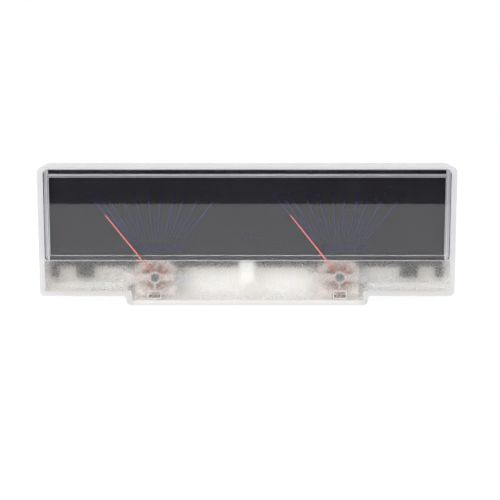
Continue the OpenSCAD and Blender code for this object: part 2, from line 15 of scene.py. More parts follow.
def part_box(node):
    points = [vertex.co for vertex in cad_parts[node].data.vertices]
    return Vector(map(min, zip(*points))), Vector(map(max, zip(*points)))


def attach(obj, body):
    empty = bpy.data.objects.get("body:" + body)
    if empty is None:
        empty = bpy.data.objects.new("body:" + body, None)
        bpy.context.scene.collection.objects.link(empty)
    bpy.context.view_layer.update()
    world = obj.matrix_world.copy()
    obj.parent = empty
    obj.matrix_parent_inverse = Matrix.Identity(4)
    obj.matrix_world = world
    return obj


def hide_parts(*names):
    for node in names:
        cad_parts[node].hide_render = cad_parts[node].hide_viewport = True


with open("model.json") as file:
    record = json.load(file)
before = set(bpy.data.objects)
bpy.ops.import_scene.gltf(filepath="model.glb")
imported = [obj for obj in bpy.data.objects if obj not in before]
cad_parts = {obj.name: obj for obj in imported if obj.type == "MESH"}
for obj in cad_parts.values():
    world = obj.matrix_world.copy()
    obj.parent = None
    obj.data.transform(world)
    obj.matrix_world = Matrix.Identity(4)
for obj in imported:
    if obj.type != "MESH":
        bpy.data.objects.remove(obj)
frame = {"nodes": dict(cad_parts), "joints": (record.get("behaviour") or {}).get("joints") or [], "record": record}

LOG = logging.getLogger("meter")
MM = 0.001
Colour = tuple[float, float, float]

# Two sizes of the cover that no node's box gives.
WINDOW_RAISE = 2.2 * MM
WINDOW_FOOT = 15.2 * MM

# How meshes are merged, cut, rounded and shaded.
MERGE = 1e-6
CUT = 1e-7
FLAT_DEGREES = 1.0
SHARP_DEGREES = 40.0
CREASE_DEGREES = 35.0
ROUNDING_STEPS = 2

# How squarely a face looks along an axis, as the least share of its normal.
SQUARE_ON = 0.99
FACING = 0.9
LEANING = 0.3

# The grain's coarse mask, and the noise between which a tone drifts.
MASK_SCALE = 160.0
TONE_BAND = (0.35, 0.65)


class Side(Enum):
    """The two movements, as seen from the front."""

    LEFT = "left"
    RIGHT = "right"


class Surface(IntEnum):
    """The surfaces of the clear cover, in the order of its material slots."""

    CLEAR = 0
    FROSTED = 1
    SATIN = 2
    # The grey inner top and the shaded band below carry painted shade.
    DULL = 3
    HAZY = 4
    SHADED = 5
    LIP = 6
    SLOT_EDGE = 7
    MILKY = 8
    CREAM = 9


# ---- Measures taken from the frame ----


@dataclass(frozen=True)
class Measures:
    """Places that several pieces share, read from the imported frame, in metres.

    Attributes:
        seat_y: Depth of the cover's seat face.
        window_z: Height of the raised window's lower edge.
        plate_front: Depth of the dial plate's front face.
        plate_back: Depth of the dial plate's back face.
        pivots: X and Z of each pivot.
    """

    seat_y: float
    window_z: float
    plate_front: float
    plate_back: float
    pivots: dict[Side, tuple[float, float]]


def take_measures() -> Measures:
    """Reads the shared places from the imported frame.

    Returns:
        The measures that the sub-assemblies use.
    """
    cover_low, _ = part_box("front_cover")
    plate_low, plate_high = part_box("dial_plate")
    places = {joint["name"]: joint["pos_m"] for joint in frame["joints"]}
    swings = {side: places[f"{side.value}_pointer_swing"] for side in Side}
    return Measures(
        seat_y=cover_low.y + WINDOW_RAISE,
        window_z=WINDOW_FOOT,
        plate_front=plate_low.y,
        plate_back=plate_high.y,
        pivots={side: (place[0], place[2]) for side, place in swings.items()},
    )


# ---- Shader node helpers and shared groups ----


def add_node(tree: bpy.types.NodeTree, kind: str, **values: object) -> bpy.types.Node:
    """Adds a node to a tree and sets its plain attributes.

    Args:
        tree: The node tree.
        kind: The node's type name.
        values: Attributes to set on the node.

    Returns:
        The new node.
    """
    node = tree.nodes.new(kind)
    for name, value in values.items():
        setattr(node, name, value)
    return node


def new_group(name: str, inputs: dict[str, float | Colour],
              outputs: dict[str, str]) -> bpy.types.NodeTree:
    """Makes an empty shader node group with named sockets.

    Args:
        name: The group's name.
        inputs: Default value of each input; a colour makes a colour socket.
        outputs: Socket type of each output.

    Returns:
        The group, with one input node and one output node in it.
    """
    group = bpy.data.node_groups.new(name, "ShaderNodeTree")
    for label, value in inputs.items():
        is_colour = isinstance(value, tuple)
        kind = "NodeSocketColor" if is_colour else "NodeSocketFloat"
        socket = group.interface.new_socket(label, in_out="INPUT", socket_type=kind)
        socket.default_value = (*value, 1.0) if is_colour else value
    for label, kind in outputs.items():
        group.interface.new_socket(label, in_out="OUTPUT", socket_type=kind)
    add_node(group, "NodeGroupInput")
    add_node(group, "NodeGroupOutput")
    return group


def ends(group: bpy.types.NodeTree) -> tuple[bpy.types.Node, bpy.types.Node]:
    """The group's input node and output node."""
    return group.nodes["Group Input"], group.nodes["Group Output"]


def shared(name: str, make: Callable[[str], bpy.types.NodeTree]) -> bpy.types.NodeTree:
    """Returns a group by name, and makes it the first time.

    Args:
        name: The group's name.
        make: Function that makes it.

    Returns:
        The group.
    """
    return bpy.data.node_groups.get(name) or make(name)


def make_grain(name: str) -> bpy.types.NodeTree:
    """Fine moulded or sprayed grain, as a height and a mask.

    Args:
        name: The group's name.

    Returns:
        The group, with Height and Mask outputs.
    """
    group = new_group(
        name,
        {"Scale": 900.0, "Stretch": 1.0, "Detail": 4.0},
        {"Height": "NodeSocketFloat", "Mask": "NodeSocketFloat"},
    )
    source, target = ends(group)
    place = add_node(group, "ShaderNodeTexCoord")
    mapping = add_node(group, "ShaderNodeMapping")
    combine = add_node(group, "ShaderNodeCombineXYZ")
    fine = add_node(group, "ShaderNodeTexNoise")
    coarse = add_node(group, "ShaderNodeTexNoise")
    coarse.inputs["Scale"].default_value = MASK_SCALE
    link = group.links.new
    link(source.outputs["Stretch"], combine.inputs["X"])
    combine.inputs["Y"].default_value = 1.0
    combine.inputs["Z"].default_value = 1.0
    link(place.outputs["Object"], mapping.inputs["Vector"])
    link(combine.outputs["Vector"], mapping.inputs["Scale"])
    link(mapping.outputs["Vector"], fine.inputs["Vector"])
    link(mapping.outputs["Vector"], coarse.inputs["Vector"])
    link(source.outputs["Scale"], fine.inputs["Scale"])
    link(source.outputs["Detail"], fine.inputs["Detail"])
    link(fine.outputs["Fac"], target.inputs["Height"])
    link(coarse.outputs["Fac"], target.inputs["Mask"])
    return group


def make_tone(name: str) -> bpy.types.NodeTree:
    """A slow drift between two close colours.

    Args:
        name: The group's name.

    Returns:
        The group, with a Color output.
    """
    group = new_group(
        name,
        {"Base": (0.8, 0.8, 0.8), "Second": (0.7, 0.7, 0.7), "Scale": 60.0, "Amount": 1.0},
        {"Color": "NodeSocketColor"},
    )
    source, target = ends(group)
    place = add_node(group, "ShaderNodeTexCoord")
    noise = add_node(group, "ShaderNodeTexNoise")
    noise.inputs["Detail"].default_value = 3.0
    spread = add_node(group, "ShaderNodeMapRange")
    spread.inputs["From Min"].default_value, spread.inputs["From Max"].default_value = TONE_BAND
    scaled = add_node(group, "ShaderNodeMath", operation="MULTIPLY")
    mix = add_node(group, "ShaderNodeMix", data_type="RGBA")
    link = group.links.new
    link(place.outputs["Object"], noise.inputs["Vector"])
    link(source.outputs["Scale"], noise.inputs["Scale"])
    link(noise.outputs["Fac"], spread.inputs["Value"])
    link(spread.outputs["Result"], scaled.inputs[0])
    link(source.outputs["Amount"], scaled.inputs[1])
    link(scaled.outputs["Value"], mix.inputs["Factor"])
    link(source.outputs["Base"], mix.inputs["A"])
    link(source.outputs["Second"], mix.inputs["B"])
    link(mix.outputs["Result"], target.inputs["Color"])
    return group


def place_group(tree: bpy.types.NodeTree, name: str, make: Callable[[str], bpy.types.NodeTree],
                **values: float | Colour) -> bpy.types.Node:
    """Places a shared group in a material with its own values.

    Args:
        tree: The material's node tree.
        name: The group's name.
        make: Function that makes the group.
        values: Input values, with underscores for spaces.

    Returns:
        The group node.
    """
    node = add_node(tree, "ShaderNodeGroup")
    node.node_tree = shared(name, make)
    for label, value in values.items():
        node.inputs[label].default_value = (*value, 1.0) if isinstance(value, tuple) else value
    return node


def new_material(name: str) -> tuple[bpy.types.Material, bpy.types.NodeTree, bpy.types.Node]:
    """Makes a material and gives its tree and its Principled shader."""
    material = bpy.data.materials.new(name)
    material.use_nodes = True
    tree = material.node_tree
    return material, tree, tree.nodes["Principled BSDF"]


def add_bump(tree: bpy.types.NodeTree, shader: bpy.types.Node, height: bpy.types.NodeSocket,
             strength: float, distance: float) -> None:
    """Feeds a height into a shader's normal through a bump node.

    Args:
        tree: The material's node tree.
        shader: The Principled shader.
        height: The height socket.
        strength: The bump's strength.
        distance: The bump's depth in metres.
    """
    bump = add_node(tree, "ShaderNodeBump")
    bump.inputs["Strength"].default_value = strength
    bump.inputs["Distance"].default_value = distance
    tree.links.new(height, bump.inputs["Height"])
    tree.links.new(bump.outputs["Normal"], shader.inputs["Normal"])


# ---- Finishes ----


@dataclass(frozen=True)
class Moulding:
    """An opaque moulded plastic or a sprayed coat.

    Attributes:
        name: The finish's name.
        colour: Main colour.
        second: Colour that it drifts towards.
        roughness: How matt it is.
        grain: Strength of the fine grain.
        grain_scale: Fineness of the grain, in noise cells a metre.
        glow: Share of light that passes into the body, as in milky plastic.
        depth: How far that light spreads in the body, in metres.
        gloss: Strength of the reflection, 0.5 for common plastic.
        swing: How far the roughness drifts to each side.
        bump: Depth of the grain in metres.
    """

    name: str
    colour: Colour
    second: Colour
    roughness: float = 0.45
    grain: float = 0.15
    grain_scale: float = 2500.0
    glow: float = 0.0
    depth: float = 1.5 * MM
    gloss: float = 0.5
    swing: float = 0.06
    bump: float = 0.03 * MM

    def make(self) -> bpy.types.Material:
        """Builds the material."""
        material, tree, shader = new_material(self.name)
        tone = place_group(tree, "slow tone", make_tone, Base=self.colour, Second=self.second)
        grain = place_group(tree, "fine grain", make_grain, Scale=self.grain_scale)
        spread = add_node(tree, "ShaderNodeMapRange")
        spread.inputs["To Min"].default_value = self.roughness - self.swing
        spread.inputs["To Max"].default_value = self.roughness + self.swing
        tree.links.new(tone.outputs["Color"], shader.inputs["Base Color"])
        tree.links.new(grain.outputs["Mask"], spread.inputs["Value"])
        tree.links.new(spread.outputs["Result"], shader.inputs["Roughness"])
        add_bump(tree, shader, grain.outputs["Height"], self.grain, self.bump)
        shader.inputs["Specular IOR Level"].default_value = self.gloss
        if self.glow:
            shader.inputs["Subsurface Weight"].default_value = self.glow
            shader.inputs["Subsurface Radius"].default_value = (1.0, 0.9, 0.8)
            shader.inputs["Subsurface Scale"].default_value = self.depth
        return material


@dataclass(frozen=True)
class FadingMoulding(Moulding):
    """A moulding whose colour fades away from the pivots, pale below and dark above.

    Attributes:
        pale: Colour far from a pivot, below it.
        dark: Colour far from a pivot, above it.
        pivot: Distance of both pivots from the middle, and their height.
        fade: Distances from the pivot at which the fading starts and ends.
        rise: Heights above the pivot between which pale turns to dark.
    """

    pale: Colour = (0.72, 0.67, 0.63)
    dark: Colour = (0.05, 0.045, 0.045)
    pivot: tuple[float, float] = (30.0 * MM, 8.8 * MM)
    fade: tuple[float, float] = (5.6 * MM, 7.4 * MM)
    rise: tuple[float, float] = (1.8 * MM, 3.6 * MM)

    def make(self) -> bpy.types.Material:
        """Builds the material, then fades its colour."""
        material = super().make()
        tree = material.node_tree
        shader = tree.nodes["Principled BSDF"]
        link = tree.links.new
        main = shader.inputs["Base Color"].links[0].from_socket
        place = add_node(tree, "ShaderNodeTexCoord")
        split = add_node(tree, "ShaderNodeSeparateXYZ")
        outward = add_node(tree, "ShaderNodeMath", operation="ABSOLUTE")
        across = add_node(tree, "ShaderNodeMath", operation="SUBTRACT")
        up = add_node(tree, "ShaderNodeMath", operation="SUBTRACT")
        across.inputs[1].default_value, up.inputs[1].default_value = self.pivot
        flat = add_node(tree, "ShaderNodeCombineXYZ")
        reach = add_node(tree, "ShaderNodeVectorMath", operation="LENGTH")
        link(place.outputs["Object"], split.inputs["Vector"])
        link(split.outputs["X"], outward.inputs[0])
        link(outward.outputs["Value"], across.inputs[0])
        link(split.outputs["Z"], up.inputs[0])
        link(across.outputs["Value"], flat.inputs["X"])
        link(up.outputs["Value"], flat.inputs["Z"])
        link(flat.outputs["Vector"], reach.inputs[0])
        outer = self.blend(tree, up.outputs["Value"], self.rise)
        outer.inputs["A"].default_value = (*self.pale, 1.0)
        outer.inputs["B"].default_value = (*self.dark, 1.0)
        whole = self.blend(tree, reach.outputs["Value"], self.fade)
        link(main, whole.inputs["A"])
        link(outer.outputs["Result"], whole.inputs["B"])
        link(whole.outputs["Result"], shader.inputs["Base Color"])
        return material

    def blend(self, tree: bpy.types.NodeTree, measure: bpy.types.NodeSocket,
              limits: tuple[float, float]) -> bpy.types.Node:
        """A colour mix that follows a measure between two limits.

        Args:
            tree: The material's node tree.
            measure: The socket that gives the measure.
            limits: Where the mix is all A, and where it is all B.

        Returns:
            The mix node.
        """
        spread = add_node(tree, "ShaderNodeMapRange", interpolation_type="SMOOTHSTEP")
        spread.inputs["From Min"].default_value, spread.inputs["From Max"].default_value = limits
        mix = add_node(tree, "ShaderNodeMix", data_type="RGBA")
        tree.links.new(measure, spread.inputs["Value"])
        tree.links.new(spread.outputs["Result"], mix.inputs["Factor"])
        return mix


@dataclass(frozen=True)
class Metal:
    """A turned, stamped or plated metal.

    Attributes:
        name: The finish's name.
        colour: Main colour.
        second: Colour that it drifts towards.
        roughness: How matt it is.
        stretch: How far the brushing is drawn out.
        brush: Strength of the brushing.
        tone_scale: Fineness of the drift, in noise cells a metre.
        brush_scale: Fineness of the brushing, in noise cells a metre.
        swing: How far the roughness drifts to each side.
        bump: Depth of the brushing in metres.
    """

    name: str
    colour: Colour
    second: Colour
    roughness: float = 0.3
    stretch: float = 0.08
    brush: float = 0.25
    tone_scale: float = 400.0
    brush_scale: float = 6000.0
    swing: float = 0.08
    bump: float = 0.01 * MM

    def make(self) -> bpy.types.Material:
        """Builds the material."""
        material, tree, shader = new_material(self.name)
        shader.inputs["Metallic"].default_value = 1.0
        tone = place_group(
            tree, "slow tone", make_tone, Base=self.colour, Second=self.second, Scale=self.tone_scale
        )
        grain = place_group(tree, "fine grain", make_grain, Scale=self.brush_scale, Stretch=self.stretch)
        spread = add_node(tree, "ShaderNodeMapRange")
        spread.inputs["To Min"].default_value = self.roughness - self.swing
        spread.inputs["To Max"].default_value = self.roughness + self.swing
        tree.links.new(tone.outputs["Color"], shader.inputs["Base Color"])
        tree.links.new(grain.outputs["Height"], spread.inputs["Value"])
        tree.links.new(spread.outputs["Result"], shader.inputs["Roughness"])
        add_bump(tree, shader, grain.outputs["Height"], self.brush, self.bump)
        return material


@dataclass(frozen=True)
class ClearMoulding:
    """Clear plastic with a polished, satin or grained surface.

    Attributes:
        name: The finish's name.
        tint: Colour of the plastic.
        clearness: Share of the light that passes; the rest scatters like milky plastic.
        roughness: How matt the surface is.
        grain: Depth of the surface's grain in metres.
        grain_scale: Fineness of the grain, in noise cells a metre.
        speckle: How much rougher the grain's peaks are than its hollows.
        speckle_band: Heights of the grain between which the speckle sets in.
        detail: Fine detail in the grain.
        swing: Share by which the roughness drifts to each side.
        drift: Share by which the tint drifts.
        index: Refractive index of the plastic.
        lamp_tint: Share of the lamps' light that passes straight through.
    """

    name: str
    tint: Colour
    clearness: float = 1.0
    roughness: float = 0.02
    grain: float = 0.0
    grain_scale: float = 3400.0
    speckle: float = 0.0
    speckle_band: tuple[float, float] = (0.42, 0.58)
    detail: float = 1.5
    swing: float = 0.1
    drift: float = 0.005
    index: float = 1.49
    lamp_tint: Colour = (0.97, 0.97, 0.98)

    def make(self) -> bpy.types.Material:
        """Builds the material."""
        material, tree, shader = new_material(self.name)
        shader.inputs["Transmission Weight"].default_value = self.clearness
        shader.inputs["IOR"].default_value = self.index
        faded = tuple((1.0 - self.drift) * part for part in self.tint)
        tone = place_group(tree, "slow tone", make_tone, Base=self.tint, Second=faded)
        grain = place_group(tree, "fine grain", make_grain, Scale=self.grain_scale, Detail=self.detail)
        spread = add_node(tree, "ShaderNodeMapRange")
        spread.inputs["To Min"].default_value = self.roughness * (1.0 - self.swing)
        spread.inputs["To Max"].default_value = self.roughness * (1.0 + self.swing) + self.speckle
        link = tree.links.new
        link(tone.outputs["Color"], shader.inputs["Base Color"])
        if self.speckle:
            low, high = self.speckle_band
            spread.inputs["From Min"].default_value = low
            spread.inputs["From Max"].default_value = high
        link(grain.outputs["Height" if self.speckle else "Mask"], spread.inputs["Value"])
        link(spread.outputs["Result"], shader.inputs["Roughness"])
        if self.grain:
            add_bump(tree, shader, grain.outputs["Height"], 1.0, self.grain)
        self.let_lamps_through(tree, shader)
        return material

    def let_lamps_through(self, tree: bpy.types.NodeTree, shader: bpy.types.Node) -> None:
        """Lets light from the lamps reach what lies behind the plastic.

        Args:
            tree: The material's node tree.
            shader: The Principled shader.
        """
        clear = add_node(tree, "ShaderNodeBsdfTransparent")
        clear.inputs["Color"].default_value = (*self.lamp_tint, 1.0)
        path = add_node(tree, "ShaderNodeLightPath")
        mix = add_node(tree, "ShaderNodeMixShader")
        output = tree.nodes["Material Output"]
        tree.links.new(path.outputs["Is Shadow Ray"], mix.inputs["Fac"])
        tree.links.new(shader.outputs["BSDF"], mix.inputs[1])
        tree.links.new(clear.outputs["BSDF"], mix.inputs[2])
        tree.links.new(mix.outputs["Shader"], output.inputs["Surface"])


@dataclass(frozen=True)
class Ink:
    """Thin printing ink on the dial.

    Attributes:
        name: The finish's name.
        colour: The ink's colour.
        roughness: How matt it is.
        fade: Share of the colour that stays where the ink is thin.
        tone_scale: Fineness of the fading, in noise cells a metre.
        grain_scale: Fineness of the grain, in noise cells a metre.
        gloss: Strength of the reflection.
        grain: Strength of the grain.
        bump: Depth of the grain in metres.
    """

    name: str
    colour: Colour
    roughness: float = 0.5
    fade: float = 0.8
    tone_scale: float = 300.0
    grain_scale: float = 9000.0
    gloss: float = 0.05
    grain: float = 0.1
    bump: float = 0.01 * MM

    def make(self) -> bpy.types.Material:
        """Builds the material."""
        material, tree, shader = new_material(self.name)
        faded = tuple(self.fade * part for part in self.colour)
        tone = place_group(
            tree, "slow tone", make_tone, Base=self.colour, Second=faded, Scale=self.tone_scale
        )
        grain = place_group(tree, "fine grain", make_grain, Scale=self.grain_scale)
        shader.inputs["Roughness"].default_value = self.roughness
        shader.inputs["Specular IOR Level"].default_value = self.gloss
        tree.links.new(tone.outputs["Color"], shader.inputs["Base Color"])
        add_bump(tree, shader, grain.outputs["Height"], self.grain, self.bump)
        return material


class Finishes:
    """Every finish of the meter, made once and found by its slot's name."""

    def __init__(self) -> None:
        """Makes the materials."""
        slots = {
            "clear_plastic": ClearMoulding("clear cover", (0.99, 0.99, 1.0)),
            "case_plastic": Moulding(
                "cream case", (0.94, 0.91, 0.86), (0.93, 0.9, 0.85), 0.42, 0.2, glow=1.0, depth=4 * MM
            ),
            "dial_black": Moulding(
                "black dial", (0.004, 0.003, 0.007), (0.006, 0.005, 0.01), 0.22, 0.08, 5000.0, gloss=0.3
            ),
            "milky_plastic": Moulding(
                "milky sheet", (0.72, 0.715, 0.72), (0.69, 0.685, 0.69), 0.5, 0.05, glow=0.2
            ),
            "board": Moulding("board mask", (0.75, 0.77, 0.72), (0.7, 0.72, 0.68), 0.3, 0.1),
            "led_resin": Moulding("lamp resin", (0.9, 0.86, 0.5), (0.88, 0.8, 0.4), 0.2, 0.05, glow=0.2),
            "steel": Metal("turned steel", (0.5, 0.53, 0.56), (0.42, 0.45, 0.48), 0.35),
            "tinned_brass": Metal("tinned brass", (0.66, 0.6, 0.52), (0.58, 0.5, 0.4), 0.32),
            "frame_plastic": FadingMoulding(
                "frame plastic", (0.6, 0.52, 0.48), (0.55, 0.47, 0.44), 0.4, 0.1, glow=0.2
            ),
            "magnet": Metal("ground magnet", (0.22, 0.19, 0.18), (0.17, 0.15, 0.14), 0.45),
            "soft_iron": Metal("lacquered iron", (0.44, 0.27, 0.22), (0.38, 0.23, 0.19), 0.4),
            "bridge_metal": Metal("stamped bridge", (0.56, 0.49, 0.46), (0.5, 0.43, 0.4), 0.4),
            "aluminium": Metal("folded foil", (0.75, 0.75, 0.77), (0.68, 0.68, 0.7), 0.35),
            "copper": Metal("enamelled wire", (0.8, 0.24, 0.14), (0.7, 0.18, 0.1), 0.35, 1.0),
            "pointer_paint": Moulding(
                "orange red paint", (0.8, 0.165, 0.115), (0.76, 0.15, 0.105), 0.4, 0.05, 8000.0
            ),
            "spring_bronze": Metal("spring bronze", (0.7, 0.48, 0.24), (0.6, 0.4, 0.2), 0.3),
        }
        cover = {
            Surface.FROSTED: ClearMoulding(
                "frosted front", (0.99, 0.98, 0.965), 0.92, 0.3, 0.08 * MM, 2600.0, speckle=0.3
            ),
            Surface.SATIN: ClearMoulding("satin side", (0.93, 0.93, 0.96), 0.3, 0.3),
            # Clear plastic, part milky and tinted dark grey: the grey is painted shade on the hollow's inner top,
            # and a painted shadow line on the top front edge.
            Surface.DULL: ClearMoulding("inner top with painted shade", (0.3, 0.3, 0.32), 0.35, 0.1),
            Surface.HAZY: ClearMoulding("hazy wall", (0.96, 0.96, 0.98), 0.55, 0.3),
            # A dark, opaque band across the hollow's top: painted shade, drawn as a thin dark line.
            Surface.SHADED: Moulding("painted shade band", (0.12, 0.12, 0.13), (0.1, 0.1, 0.11), 0.6, gloss=0.0),
            Surface.LIP: ClearMoulding("tab lip", (0.84, 0.83, 0.83), 0.3, 0.3),
            Surface.SLOT_EDGE: Moulding(
                "milky slot rim", (0.78, 0.73, 0.72), (0.74, 0.7, 0.69), 0.5, glow=0.2
            ),
            Surface.MILKY: Moulding(
                "milky floor", (0.97, 0.945, 0.915), (0.95, 0.925, 0.895), 0.5, glow=1.0, depth=2 * MM
            ),
            Surface.CREAM: ClearMoulding("cream satin rim", (0.93, 0.91, 0.88), 0.3, 0.3),
        }
        self.made = {slot: recipe.make() for slot, recipe in slots.items()}
        self.cover = [cover[surface].make() for surface in sorted(cover)]
        self.blackened = Metal("blackened steel", (0.13, 0.145, 0.15), (0.1, 0.115, 0.12), 0.35).make()
        self.pale_metal = Metal("pale adjuster", (0.54, 0.49, 0.46), (0.48, 0.44, 0.41), 0.45).make()
        self.dulled = Metal("dulled weight", (0.42, 0.35, 0.31), (0.36, 0.3, 0.27), 0.4).make()
        self.white_back = Moulding("white plate back", (0.88, 0.87, 0.84), (0.84, 0.83, 0.8), 0.5).make()
        self.ink = Ink("blue ink", (0.027, 0.036, 0.17)).make()
        self.faint_ink = Ink("faint blue ink", (0.014, 0.016, 0.065)).make()

    def of(self, node: str) -> bpy.types.Material:
        """The finish of a CAD node, by its material slot in the record."""
        return self.made[slot_of(node)]


def slot_of(node: str) -> str:
    """The record's material slot of a CAD node."""
    return next(s["material_slot"] for s in frame["record"]["subparts"] if s["node"] == node)


def body_of(node: str) -> str:
    """The body that a CAD node belongs to."""
    groups = frame["record"]["behaviour"]["bodies"]
    return next(body for body, nodes in groups.items() if node in nodes)


# ---- Mesh helpers ----


def add_object(name: str, mesh: bpy.types.Mesh, material: bpy.types.Material) -> bpy.types.Object:
    """Puts a mesh in the scene with its material.

    Args:
        name: The piece's name.
        mesh: Its mesh, in the row frame.
        material: Its finish.

    Returns:
        The new object.
    """
    piece = bpy.data.objects.new(name, mesh)
    bpy.context.scene.collection.objects.link(piece)
    mesh.materials.clear()
    mesh.materials.append(material)
    return piece


def mesh_from(bm: bmesh.types.BMesh, name: str, crease: float = CREASE_DEGREES) -> bpy.types.Mesh:
    """Turns a bmesh into a mesh that is smooth except at its sharp edges.

    Args:
        bm: The bmesh, which is freed.
        name: The mesh's name.
        crease: Edges above this angle stay sharp, in degrees.

    Returns:
        The mesh.
    """
    for face in bm.faces:
        face.smooth = True
    for edge in bm.edges:
        edge.smooth = edge.calc_face_angle(0.0) < math.radians(crease)
    mesh = bpy.data.meshes.new(name)
    bm.to_mesh(mesh)
    bm.free()
    return mesh


def merge_flats(bm: bmesh.types.BMesh) -> None:
    """Joins the triangles of each flat face."""
    limit = math.radians(FLAT_DEGREES)
    bmesh.ops.dissolve_limit(bm, angle_limit=limit, verts=bm.verts, edges=bm.edges)


def score(bm: bmesh.types.BMesh, faces: list[bmesh.types.BMFace], spot: tuple, normal: tuple) -> None:
    """Cuts faces along a plane, so that each side takes its own finish.

    Args:
        bm: The mesh.
        faces: The faces that are cut.
        spot: A point on the plane.
        normal: The plane's direction.
    """
    geom = faces + list({e for f in faces for e in f.edges}) + list({v for f in faces for v in f.verts})
    bmesh.ops.bisect_plane(bm, geom=geom, plane_co=spot, plane_no=normal, dist=CUT)


def stand_in(piece: bpy.types.Object, node: str) -> None:
    """Lets a piece stand for a CAD node, on the node's body, and hides the node.

    Args:
        piece: The piece.
        node: The CAD node.
    """
    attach(piece, body_of(node))
    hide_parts(node)
    LOG.info("%s stands for %s", piece.name, node)


def softened(node: str, piece_name: str, width: float, material: bpy.types.Material) -> bpy.types.Object:
    """A copy of a CAD node with its sharp edges rounded, which stands for the node.

    Args:
        node: The CAD node.
        piece_name: The new piece's name.
        width: Width of the rounding in metres.
        material: Its finish.

    Returns:
        The new piece, riding on the node's body.
    """
    bm = bmesh.new()
    bm.from_mesh(frame["nodes"][node].data)
    bmesh.ops.remove_doubles(bm, verts=bm.verts, dist=MERGE)
    merge_flats(bm)
    limit = math.radians(SHARP_DEGREES)
    sharp = [e for e in bm.edges if len(e.link_faces) == 2 and e.calc_face_angle(0.0) > limit]
    bmesh.ops.bevel(
        bm, geom=sharp, offset=width, offset_type="OFFSET", segments=ROUNDING_STEPS, profile=0.5,
        affect="EDGES", clamp_overlap=True, loop_slide=True,
    )
    piece = add_object(piece_name, mesh_from(bm, piece_name), material)
    even = piece.modifiers.new("even normals", "WEIGHTED_NORMAL")
    even.keep_sharp = True
    even.weight = 100
    stand_in(piece, node)
    return piece


def dress(node: str, finishes: Finishes) -> None:
    """Gives a CAD node that stays its finish.

    Args:
        node: The CAD node.
        finishes: The finishes.
    """
    mesh = frame["nodes"][node].data
    mesh.materials.clear()
    mesh.materials.append(finishes.of(node))
    LOG.info("dressed %s", node)


# ---- Sub-assemblies ----


